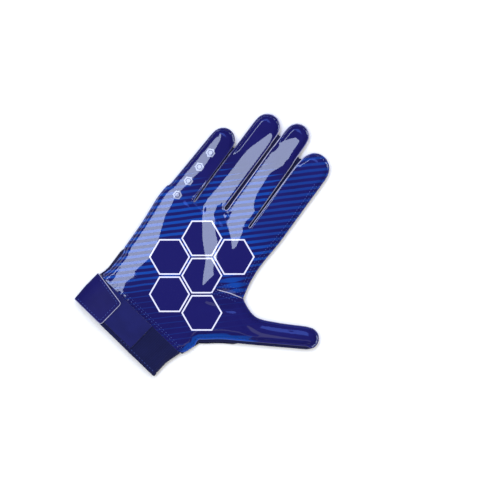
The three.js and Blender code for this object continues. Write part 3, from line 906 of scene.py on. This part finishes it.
def palm_slopes(shape, plan, height, beyond_seam):
    """The slopes wanted over the palm: nearly level across, apart from the thumb and the table's rows."""
    slopes = slopes_of(shape, plan, height)
    out, over = thumb_places(plan)
    on_thumb = ramp(out, 30, 42) * ramp(over, 40, 24)
    open_sheet = ramp(beyond_seam, 0.7, 2.5) * (1 - on_thumb)
    up_hand = plan[:, 1] - CUFF_CENTRE[1]
    level = np.clip(slopes[:, 0], -LEVEL_RISE - HAND_FALL * ramp(up_hand, 136, 118), LEVEL_RISE)
    slopes[:, 0] += open_sheet * (level - slopes[:, 0])
    slopes *= 1 - (1 - FLANK_SHARE) * ramp(beyond_seam, 4.5, 2.5)[:, None]
    for row in PALM_SLOPES:
        bounds = np.array(row["outline"]) + CUFF_CENTRE
        depth = clearance(plan, bounds) * np.where(inside(plan, bounds), 1, -1)
        share = (ramp(depth, -0.7, 0.7) * ramp(beyond_seam, -0.3, 0.4))[:, None]
        rise = np.interp(up_hand, *zip(*row["rise"]))
        slopes = slopes * (1 - share) + share * rise[:, None] * row["up"]
    return slopes


def stripe_values(plan, edge):
    """How bold and how vivid the stripes are at each place of the palm, bolder where they paint a highlight.
    """
    x, y = (plan - CUFF_CENTRE).T
    out, over = thumb_places(plan)
    heel = ramp(x - y, -78, -36)
    thumb = ramp(out, 22, 36) * ramp(over, 40, 28)
    # The thumb's rolled lower edge, where the bright blue is a painted highlight
    painted_edge_highlight = ramp(edge, 5.4, 4.2) * ramp(out, -6, 2) * ramp(out, 64, 48) * ramp(over, 0, -8)
    bold_and_sheen, vivid = STRIPES["hand"]
    for name, share in (("heel", heel), ("thumb", thumb), ("painted_edge_highlight", painted_edge_highlight)):
        bold_and_sheen = bold_and_sheen * (1 - share) + STRIPES[name][0] * share
        vivid = vivid * (1 - share) + STRIPES[name][1] * share
    # The web between thumb and index finger, brightened as painted sheen
    painted_web_sheen = np.exp(-(((x - 55) / 13) ** 2) - ((y - 97) / 8) ** 2)
    bold_and_sheen = bold_and_sheen + STRIPES["painted_web_sheen"][0] * painted_web_sheen
    vivid = vivid * (1 - painted_web_sheen) + STRIPES["painted_web_sheen"][1] * painted_web_sheen
    for finger in FINGERS:
        along = (y - finger["fork"]) / (finger["tip"] - finger["fork"])
        lean = finger["x"] + finger["lean"] * along
        on = (np.abs(x - lean) < 13.5) & (along > -0.1) & (thumb < 0.5)
        fade = ramp(along, *finger["fade"])
        bold_and_sheen = np.where(on, bold_and_sheen * (1 - fade) - 0.2 * fade, bold_and_sheen)
        vivid = np.where(on, vivid * (1 + (finger["vivid"] - 1) * ramp(along, -0.1, 0.1)), vivid)
    return bold_and_sheen, vivid


class GLOVE_OT_palm(bpy.types.Operator):
    """Cut the coated palm with the finger fronts and the thumb, arched and creased over the hollow hand"""

    bl_idname = "glove.palm"
    bl_label = "Palm"

    def execute(self, context):
        look, sizes = settings(context)
        outline = palm_outline()
        shape, plan, border = sheet(outline, sizes.palm_spacing, PALM_ROWS)
        edge = clearance(plan, without_wrist(outline), closed=False)
        slit = in_slits(plan)
        flange = PALM_FLANGE + SLIT_LIFT * slit * ramp(edge, 12, 6)
        seam = WELT * (1 - 0.8 * slit)
        height = arched(shape, plan, edge, border, flange) + palm_relief(plan, edge)
        height += 0.1 * wavy(plan, 9, 1.3) * ramp(edge, 2.2, 0.4)
        held = (edge < np.maximum(0.2, seam - 0.5)) | (border < AT_BORDER)
        firm = 0.05 + 0.95 * ramp(edge - seam, 1.0, 1.2 + 1.8 * (1 - slit))
        height = leaned(shape, plan, height, held, palm_slopes(shape, plan, height, edge - seam), firm)
        x, y = (plan - CUFF_CENTRE).T
        at_side = ramp(x, -12, -20) * ramp(y, 128, 116)
        steepest = STEEPEST + (SIDE_STEEPEST - STEEPEST) * at_side
        ceiling = flange + steepest * np.maximum(0, edge - seam + 0.4)
        under = -SOFTENING * np.logaddexp(-height / SOFTENING, -ceiling / SOFTENING)
        height = np.where(edge > seam - 0.4, under, height)
        height += 0.15 * ramp(border, 3, 1) * ramp(edge, 2, 4)
        set_heights(shape, plan, height)
        materials = [palm_finish(look), plain_finish("raw_edge", shade(look.raw_edge, 0.45), 0.8),
                     lining_cloth(look)]
        piece = new_piece("palm", shape, materials, ["palm_panel"])
        bold_and_sheen, vivid = stripe_values(plan, edge)
        add_value(piece, "bold_and_sheen", bold_and_sheen)
        add_value(piece, "vivid", vivid)
        add_value(piece, "edge", edge)
        add_value(piece, "cut", 0.12 + 0.88 * ramp(y, 124, 130) * ramp(x, -12, -8) * ramp(x, 42, 37))
        thicken(piece, 1, 2)
        return {"FINISHED"}


class GLOVE_OT_back(bpy.types.Operator):
    """Cut the stretch back, rounded up at its seam and flat where the glove lies on it"""

    bl_idname = "glove.back"
    bl_label = "Back"

    def execute(self, context):
        look, sizes = settings(context)
        outline = moved_out(rounded(level_outline("back_panel", BACK_SEAM, 1)), BACK_OUT)
        shape, plan, edge = sheet(outline, sizes.back_spacing, BACK_ROWS)
        under = ray_heights("back_panel", plan, -1)
        lift = np.where(np.isnan(under) | (edge < BACK_ROUND), 0, under)
        heel = plan[:, 1] - CUFF_CENTRE[1] < 60
        lift = np.where(heel & (edge < BACK_ROUND), 1.2, lift)
        lift = settled(shape, lift, np.zeros(len(lift)), 10)
        t = np.clip(edge / BACK_ROUND, 0, 1)
        height = lift + (BACK_SEAM - lift) * (1 - np.sqrt(1 - (1 - t) ** 2))
        set_heights(shape, plan, height)
        bmesh.ops.reverse_faces(shape, faces=shape.faces)
        materials = [stretch_cloth(look), lining_cloth(look)]
        piece = new_piece("back", shape, materials, ["back_panel"])
        thicken(piece, 0, 1)
        return {"FINISHED"}


class GLOVE_OT_gussets(bpy.types.Operator):
    """Fit the strips between the fingers and along the sides of the hand"""

    bl_idname = "glove.gussets"
    bl_label = "Gussets"

    def filled(self, points, normals):
        """Swells the cloth into the slits, so that they close below the palm."""
        upright = 1 - np.abs(normals[:, 2])
        return SLIT_FILL * in_slits(points[:, :2]) * upright * ramp(points[:, 2], 4.2, 5)

    def execute(self, context):
        look, sizes = settings(context)
        cloth = stretch_cloth(look)
        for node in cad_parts:
            if node.startswith(("gusset_", "fourchette_")):
                remeshed(node + "_cloth", node, sizes.gusset_voxel, 4, [cloth],
                         self.filled)
        return {"FINISHED"}


class GLOVE_OT_cuff(bpy.types.Operator):
    """Knit the elastic cuff with its folded hem and lay the woven patch on it"""

    bl_idname = "glove.cuff"
    bl_label = "Cuff and patch"

    def execute(self, context):
        look, sizes = settings(context)

        def gathered(points, normals):
            across = (points[:, :2] - CUFF_CENTRE) @ ACROSS_WRIST
            along = up_wrist(points[:, :2])
            ribs = RIB_DEPTH * np.sin(across * 2 * math.pi / RIB_PITCH)
            seam = -HEM_DEPTH * np.exp(-(((along - HEM_HEIGHT - 0.5) / 0.5) ** 2))
            return ribs * ramp(along, HEM_HEIGHT, HEM_HEIGHT + 2) + seam + 0.2 * wavy(points[:, :2], 14, 5.0)

        knit = cloth_finish("knit_elastic", tuple(look.knit), 0.8, WRIST_TILT, 0.2, 0.1, ribs=1.6)
        remeshed("cuff_knit", "cuff", sizes.cuff_voxel, 6, [knit], gathered)
        woven = cloth_finish("woven_patch", tuple(look.patch), 0.45, WRIST_TILT + 45, 0.25, 0.05)
        remeshed("patch_weave", "landing_patch", sizes.tab_voxel * 0.8, 4, [woven],
                 lambda points, normals: 0.12 * wavy(points[:, :2], 10, 9.0))
        return {"FINISHED"}


class GLOVE_OT_tab(bpy.types.Operator):
    """Wrap the glossy closure tab round the little-finger side of the cuff"""

    bl_idname = "glove.tab"
    bl_label = "Closure tab"

    def execute(self, context):
        look, sizes = settings(context)
        piece = remeshed("tab", "closure_tab", sizes.tab_voxel, 8, [tab_finish(look)],
                         lambda points, normals: 0.12 * wavy(points[:, :2], 14, 2.0))
        shape = node_bmesh("closure_tab")
        corners = []
        for edge in shape.edges:
            if len(edge.link_faces) == 2 and edge.calc_face_angle() > CORNER_ANGLE:
                a, b = (v.co for v in edge.verts)
                span = (b - a).length
                steps = np.arange(1 + int(span / (CORNER_STEP * MM))) * CORNER_STEP * MM
                corners += [a.lerp(b, step / max(1e-9, span)) for step in steps]
        tree = nearest(corners)
        shape.free()
        add_value(piece, "edge", [tree.find(v.co)[2] / MM for v in piece.data.vertices])
        return {"FINISHED"}


class GLOVE_OT_stitches(bpy.types.Operator):
    """Sew the seams: round the palm, the dart, the index finger's double row, the tab and the cuff"""

    bl_idname = "glove.stitches"
    bl_label = "Stitches"

    def execute(self, context):
        look, sizes = settings(context)
        thread = plain_finish("thread", tuple(look.thread), 0.8)
        light = plain_finish("light_thread", tuple(look.light_thread), 0.7)
        palm = tree_of(bpy.data.objects["palm"])
        outline = evened(palm_outline(), 0.8)
        shape = bmesh.new()
        round_hand = inward(outline, WELT + 0.1)
        gaps = np.linalg.norm(np.diff(round_hand, axis=0), axis=1) > 3
        for run in np.split(round_hand, np.flatnonzero(gaps) + 1):
            if len(run) > 4:
                add_stitches(shape, palm, run, sizes.stitch_pitch)
        new_piece("palm_stitches", shape, [thread])
        shape = bmesh.new()
        fine = sizes.stitch_pitch * 0.8
        for side in DART_ROWS:
            add_stitches(shape, palm, DART + [-2, side] + CUFF_CENTRE, fine, SHORT_STITCH)
        for inset in INDEX_ROWS:
            add_stitches(shape, palm, INDEX_SIDE - [inset, 0] + CUFF_CENTRE, fine, SHORT_STITCH)
        for up in WRIST_ROWS:
            row = [wrist_place(x, WRIST_SEAM + up) for x in np.linspace(SIDE + 8, -SIDE + 3, 6)]
            add_stitches(shape, palm, row, sizes.stitch_pitch, SHORT_STITCH)
        new_piece("row_stitches", shape, [light])

        tab = tree_of(bpy.data.objects["tab"])
        shape = bmesh.new()
        start, end = SIDE + 1.5, SIDE + TAB_REACH - TAB_INSET
        border = [(start, TAB_INSET), (end, TAB_INSET), (end, TAB_END_WIDTH - TAB_INSET),
                  (start, WRIST_SEAM - TAB_INSET)]
        add_stitches(shape, tab, [wrist_place(*corner) for corner in border], sizes.stitch_pitch * 0.9)
        new_piece("tab_stitches", shape, [light])

        cuff = tree_of(bpy.data.objects["cuff_knit"])
        shape = bmesh.new()
        row = [wrist_place(x, HEM_HEIGHT - 0.6) for x in (SIDE + PATCH_REACH - 10, -SIDE - 1)]
        add_stitches(shape, cuff, row, sizes.stitch_pitch)
        new_piece("hem_stitches", shape, [light])

        shape = bmesh.new()
        add_bead(shape, palm, DART + CUFF_CENTRE, 0.9, 0.35, 0.05)
        edge = plain_finish("dart_edge", tuple(look.raw_edge), 0.8)
        new_piece("dart_edge", shape, [edge])
        return {"FINISHED"}


# Stage: the softboxes are given by where they stand over the glove, how far and how large they are
SOFTBOX_DISTANCE = 3.0
SOFTBOXES = [
    {"name": "left", "toward": (-1, -0.1), "tilt": 15, "size": (2.2, 0.52),
     "watts": 33, "colour": (0.7, 0.8, 1), "seen": True},
    {"name": "top", "toward": (-0.6, 0.8), "tilt": 30, "size": (1.6, 0.9),
     "watts": 20, "colour": (0.12, 0.24, 1), "seen": True},
    {"name": "low", "toward": (0.6, -0.8), "tilt": 34, "size": (2.4, 0.8),
     "watts": 5, "colour": (1, 0.98, 1), "seen": True},
    {"name": "fill", "toward": (-0.2, 0.4), "tilt": 10, "size": (4.0, 4.0),
     "watts": 106, "colour": (1, 0.97, 0.93), "seen": False},
]
AIR_COLOUR = (0.9, 0.93, 1.0, 1)
AIR_STRENGTH = 0.3


class GLOVE_OT_stage(bpy.types.Operator):
    """Set the pale floor, the softboxes and the camera straight above the glove"""

    bl_idname = "glove.stage"
    bl_label = "Floor, light and camera"

    def execute(self, context):
        scene = context.scene
        shape = bmesh.new()
        bmesh.ops.create_grid(shape, x_segments=1, y_segments=1, size=3)
        paper = Finish("paper", Roughness=0.9, Specular_IOR_Level=0.1)
        paper.wear(Base_Color=(0.9, 0.9, 0.89, 1), Emission_Color=(1, 1, 0.98, 1), Emission_Strength=0.03)
        floor = new_object("floor", shape, [paper.material])

        for box in SOFTBOXES:
            light = bpy.data.lights.new("softbox_" + box["name"], "AREA")
            light.shape = "RECTANGLE"
            light.size, light.size_y = box["size"]
            light.energy = box["watts"]
            light.color = box["colour"]
            lamp = bpy.data.objects.new(light.name, light)
            course = Vector((*box["toward"], 0)).normalized() * math.sin(math.radians(box["tilt"]))
            course.z = math.cos(math.radians(box["tilt"]))
            lamp.location = course * SOFTBOX_DISTANCE
            lamp.rotation_euler = course.to_track_quat("Z", "Y").to_euler()
            lamp.visible_glossy = box["seen"]
            scene.collection.objects.link(lamp)

        world = bpy.data.worlds.new("studio")
        world.use_nodes = True
        air = world.node_tree.nodes["Background"].inputs
        air["Color"].default_value = AIR_COLOUR
        air["Strength"].default_value = AIR_STRENGTH
        world.cycles_visibility.glossy = False
        scene.world = world
        scene.view_settings.view_transform = "Standard"

        lens = bpy.data.cameras.new("camera")
        lens.sensor_width = SENSOR
        lens.lens = SENSOR * CAMERA_HEIGHT / (PHOTO_WIDTH * PIXEL * MM)
        camera = bpy.data.objects.new("camera", lens)
        middle = (VIEW_CENTRE + CUFF_CENTRE) * MM
        camera.location = (middle[0], middle[1], CAMERA_HEIGHT)
        camera.rotation_euler = (0, 0, math.radians(VIEW_TURN))
        scene.collection.objects.link(camera)
        scene.camera = camera
        return {"FINISHED"}


class GLOVE_PT_panel(bpy.types.Panel):
    """Settings and pieces of the glove"""

    bl_idname = "GLOVE_PT_panel"
    bl_label = "Receiver glove"
    bl_space_type = "VIEW_3D"
    bl_region_type = "UI"
    bl_category = "Glove"

    def draw(self, context):
        for group in (context.scene.glove_look, context.scene.glove_sizes):
            column = self.layout.column()
            for name in group.__annotations__:
                column.prop(group, name)
        for operator in OPERATORS:
            self.layout.operator(operator.bl_idname)


GROUPS = (GloveLook, GloveSizes)
OPERATORS = (GLOVE_OT_palm, GLOVE_OT_back, GLOVE_OT_gussets, GLOVE_OT_cuff, GLOVE_OT_tab, GLOVE_OT_stitches,
             GLOVE_OT_stage)


def register():
    for item in (*GROUPS, *OPERATORS, GLOVE_PT_panel):
        bpy.utils.register_class(item)
    bpy.types.Scene.glove_look = bpy.props.PointerProperty(type=GloveLook)
    bpy.types.Scene.glove_sizes = bpy.props.PointerProperty(type=GloveSizes)


def unregister():
    del bpy.types.Scene.glove_look
    del bpy.types.Scene.glove_sizes
    for item in reversed((*GROUPS, *OPERATORS, GLOVE_PT_panel)):
        bpy.utils.unregister_class(item)


def main():
    register()
    bpy.ops.glove.palm()
    bpy.ops.glove.back()
    bpy.ops.glove.gussets()
    bpy.ops.glove.cuff()
    bpy.ops.glove.tab()
    bpy.ops.glove.stitches()
    bpy.ops.glove.stage()


if __name__ == "__main__":
    main()
